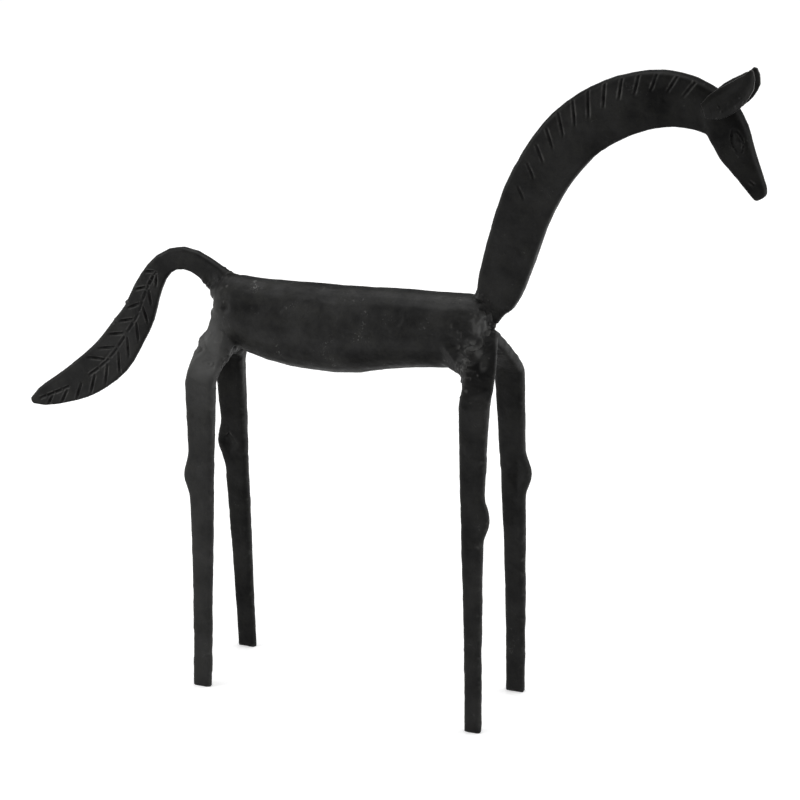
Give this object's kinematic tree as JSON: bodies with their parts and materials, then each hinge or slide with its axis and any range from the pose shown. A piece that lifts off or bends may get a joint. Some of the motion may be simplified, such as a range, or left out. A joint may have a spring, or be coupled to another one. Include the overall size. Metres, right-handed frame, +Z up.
{
  "type": "iron horse sculpture",
  "caption": "Forged iron horse statue standing on slim flat-bar legs, with an arched neck, chiselled mane, leaf ears and a veined tail blade, for a table or a shelf.",
  "frame": {"origin": "on the floor, under the middle of the box round the whole horse", "axes": "+X towards the head, +Y to the horse's left, +Z up"},
  "size_m": [0.475, 0.072, 0.421],
  "materials": {
    "blackened_iron": "satin black, hammered"
  },
  "bodies": {
    "root": {"body": "blackened_iron", "neck_and_head": "blackened_iron", "ear_left": "blackened_iron", "ear_right": "blackened_iron", "tail": "blackened_iron", "fore_legs": "blackened_iron", "hind_legs": "blackened_iron"}
  },
  "joints": []
}
